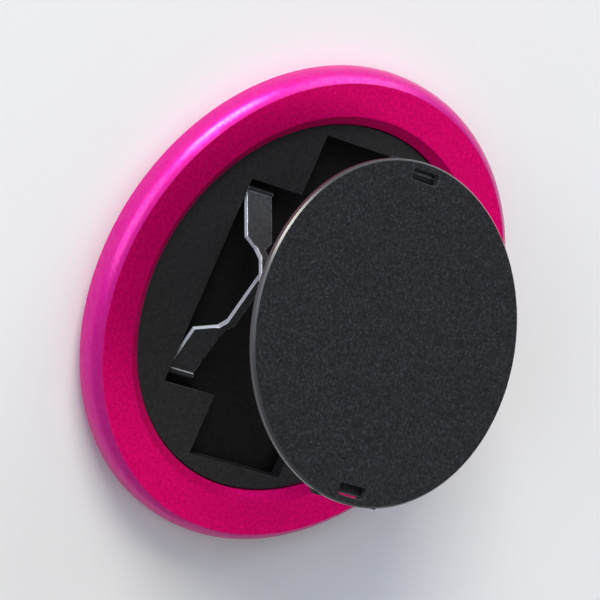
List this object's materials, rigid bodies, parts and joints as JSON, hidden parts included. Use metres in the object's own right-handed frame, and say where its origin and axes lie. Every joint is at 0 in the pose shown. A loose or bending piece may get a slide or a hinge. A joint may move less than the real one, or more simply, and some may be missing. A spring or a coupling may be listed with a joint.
{
  "type": "phone grip",
  "caption": "Flat magnetic ring for the back of a phone, with a turntable and crossed folding arms that raise a thin round disc to hold between the fingers.",
  "frame": {"origin": "middle of the soft face that meets the phone", "axes": "+Z away from the phone, Y along the arms, X along their hinges"},
  "size_m": [0.056, 0.056, 0.0229],
  "materials": {
    "anodised_ring": "bead blasted, pink anodised",
    "soft_pad": "soft matte silicone",
    "black_plate": "moulded, fine matte",
    "plain_steel": "bright drawn",
    "slip_film": "slick film",
    "black_casting": "die cast, matte black coat",
    "black_steel": "formed sheet, satin black coat",
    "matte_coat": "fine grained matte black coat",
    "magnet_plating": "nickel plated"
  },
  "bodies": {
    "ring": {"outer_ring": "anodised_ring", "phone_pad": "soft_pad", "back_plate": "black_plate", "flux_ring": "plain_steel", "glide_ring": "slip_film", "magnet_01": "magnet_plating", "magnet_02": "magnet_plating", "magnet_03": "magnet_plating", "magnet_04": "magnet_plating", "magnet_05": "magnet_plating", "magnet_06": "magnet_plating", "magnet_07": "magnet_plating", "magnet_08": "magnet_plating", "magnet_09": "magnet_plating", "magnet_10": "magnet_plating", "magnet_11": "magnet_plating", "magnet_12": "magnet_plating", "magnet_13": "magnet_plating", "magnet_14": "magnet_plating", "magnet_15": "magnet_plating", "magnet_16": "magnet_plating"},
    "turntable": {"turntable_frame": "black_casting", "turntable_floor": "black_steel"},
    "slide": {"left_slide_roller": "plain_steel", "right_slide_roller": "plain_steel"},
    "outer_arm": {"outer_arm": "black_steel"},
    "disc": {"grip_disc": "matte_coat", "lower_saddle": "black_plate", "upper_saddle": "black_plate"},
    "inner_arm": {"inner_arm": "black_steel", "left_free_roller": "plain_steel", "right_free_roller": "plain_steel"}
  },
  "joints": [
    {"name": "spin", "type": "hinge", "parent": "ring", "child": "turntable", "pos_m": [0, 0, 0], "axis": [0, 0, 1], "continuous": true},
    {"name": "foot_slide", "type": "slide", "parent": "turntable", "child": "slide", "axis": [0, 1, 0], "range_m": [0, 0.0033]},
    {"name": "fold", "type": "hinge", "parent": "slide", "child": "outer_arm", "pos_m": [0, 0.01095, 0.00197], "axis": [1, 0, 0], "range_deg": [0, 36.25]},
    {"name": "disc_hinge", "type": "hinge", "parent": "outer_arm", "child": "disc", "pos_m": [0, -0.01441, 0.02116], "axis": [1, 0, 0], "range_deg": [-20.25, 0]},
    {"name": "inner_arm_hinge", "type": "hinge", "parent": "disc", "child": "inner_arm", "pos_m": [0, 0.01933, 0.01149], "axis": [1, 0, 0], "range_deg": [-32.56, 0]}
  ],
  "couplings": [
    {"joint": "foot_slide", "follows": "fold", "m_per_rad": 0.0052162},
    {"joint": "disc_hinge", "follows": "fold", "ratio": -0.55858},
    {"joint": "inner_arm_hinge", "follows": "fold", "ratio": -0.89834}
  ]
}
